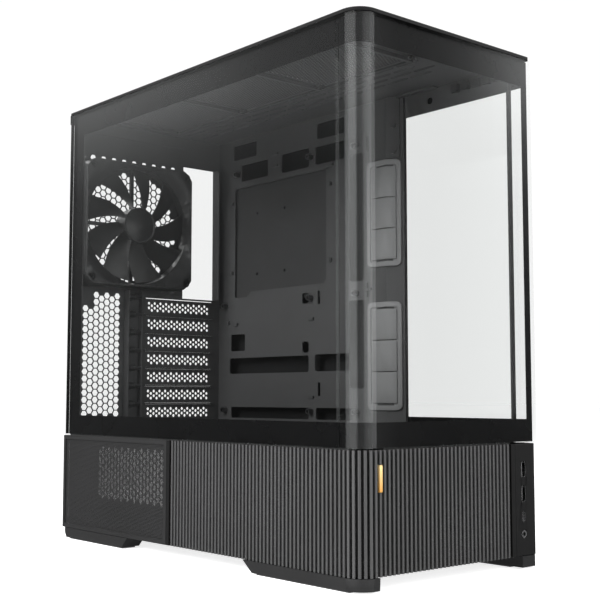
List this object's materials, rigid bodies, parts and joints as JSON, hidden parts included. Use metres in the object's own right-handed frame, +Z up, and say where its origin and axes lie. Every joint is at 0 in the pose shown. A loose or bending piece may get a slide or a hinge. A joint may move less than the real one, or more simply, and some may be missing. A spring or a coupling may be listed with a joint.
{
  "type": "computer case",
  "caption": "Mid-tower desktop computer case with clear glass front corner and sides, ribbed lower cover, mesh side panel and rear fan.",
  "frame": {"origin": "on the floor under the centre of the case", "axes": "+Z up, the glass and ribbed front faces -Y, the large flat glass side faces -X"},
  "size_m": [0.221, 0.465, 0.467],
  "materials": {
    "steel_black": "fine textured black powder coat",
    "fastener_black": "black zinc, knurled heads",
    "standoff_steel": "dark plated hex posts",
    "plastic_black": "matt black moulded plastic",
    "filter_mesh": "fine black woven dust mesh",
    "rubber_black": "soft matt black rubber",
    "fan_plastic": "satin black moulded plastic",
    "glass_clear": "clear toughened glass with ground edges",
    "print_black": "black enamel print behind glass",
    "gold_amber": "pale gold to amber satin bar",
    "socket_metal": "plated steel shells",
    "board_black": "black circuit board"
  },
  "bodies": {
    "chassis": {"audio_socket": "socket_metal", "base_pan": "steel_black", "cable_cover_lower": "rubber_black", "cable_cover_upper": "rubber_black", "chassis_screws": "fastener_black", "connector_board": "board_black", "connector_strip": "plastic_black", "corner_bracket": "steel_black", "drive_plate": "steel_black", "fan_frame": "fan_plastic", "fan_screws": "fastener_black", "feet": "plastic_black", "filter_rails": "plastic_black", "foot_pads": "rubber_black", "front_pillar": "steel_black", "lower_front_wall": "steel_black", "lower_side_wall": "steel_black", "motherboard_tray": "steel_black", "power_switch": "plastic_black", "psu_shroud": "steel_black", "psu_vent_grilles": "steel_black", "rear_fan_grille": "steel_black", "rear_panel": "steel_black", "rear_vent_grille": "steel_black", "ribbed_cover": "plastic_black", "right_rail": "steel_black", "roof_frame": "steel_black", "roof_grilles": "steel_black", "slot_channel": "steel_black", "slot_cover_1": "steel_black", "slot_cover_2": "steel_black", "slot_cover_3": "steel_black", "slot_cover_4": "steel_black", "slot_cover_5": "steel_black", "slot_cover_6": "steel_black", "slot_cover_7": "steel_black", "slot_thumbscrews": "fastener_black", "standoffs": "standoff_steel", "top_cover": "plastic_black", "usb_a_sockets": "socket_metal", "usb_c_socket": "socket_metal"},
    "right_side": {"right_side_panel": "steel_black", "right_window": "glass_clear", "right_window_border": "print_black", "window_bracket": "steel_black", "panel_thumbscrews": "fastener_black"},
    "left_side_glass": {"left_glass": "glass_clear", "left_glass_border": "print_black", "left_glass_studs": "plastic_black"},
    "front_glass_panel": {"front_glass": "glass_clear", "front_glass_border": "print_black", "front_glass_studs": "plastic_black"},
    "mesh_side_panel": {"mesh_panel_frame": "plastic_black", "mesh_panel_screen": "filter_mesh"},
    "top_filter": {"top_filter_frame": "plastic_black", "top_filter_mesh": "filter_mesh"},
    "bottom_filter": {"psu_filter_frame": "plastic_black", "psu_filter_mesh": "filter_mesh"},
    "power_key": {"power_button": "gold_amber"},
    "rotor": {"fan_rotor": "fan_plastic"}
  },
  "joints": [
    {"name": "fan_spin", "type": "hinge", "parent": "chassis", "child": "rotor", "pos_m": [-0.0345, 0.215, 0.3455], "axis": [0, 1, 0], "continuous": true},
    {"name": "power_press", "type": "slide", "parent": "chassis", "child": "power_key", "axis": [0, 1, 0], "range_m": [0, 0.001], "stiffness_N_per_m": 400, "springref_m": -0.0005},
    {"name": "left_glass_pull", "type": "slide", "parent": "chassis", "child": "left_side_glass", "axis": [-1, 0, 0], "range_m": [0, 0.08]},
    {"name": "front_glass_pull", "type": "slide", "parent": "chassis", "child": "front_glass_panel", "axis": [0, -1, 0], "range_m": [0, 0.08]},
    {"name": "right_panel_slide", "type": "slide", "parent": "chassis", "child": "right_side", "axis": [0, 1, 0], "range_m": [0, 0.02]},
    {"name": "mesh_panel_pull", "type": "slide", "parent": "chassis", "child": "mesh_side_panel", "axis": [-1, 0, 0], "range_m": [0, 0.06]},
    {"name": "top_filter_lift", "type": "slide", "parent": "chassis", "child": "top_filter", "axis": [0, 0, 1], "range_m": [0, 0.06]},
    {"name": "bottom_filter_slide", "type": "slide", "parent": "chassis", "child": "bottom_filter", "axis": [0, 1, 0], "range_m": [0, 0.16]}
  ]
}
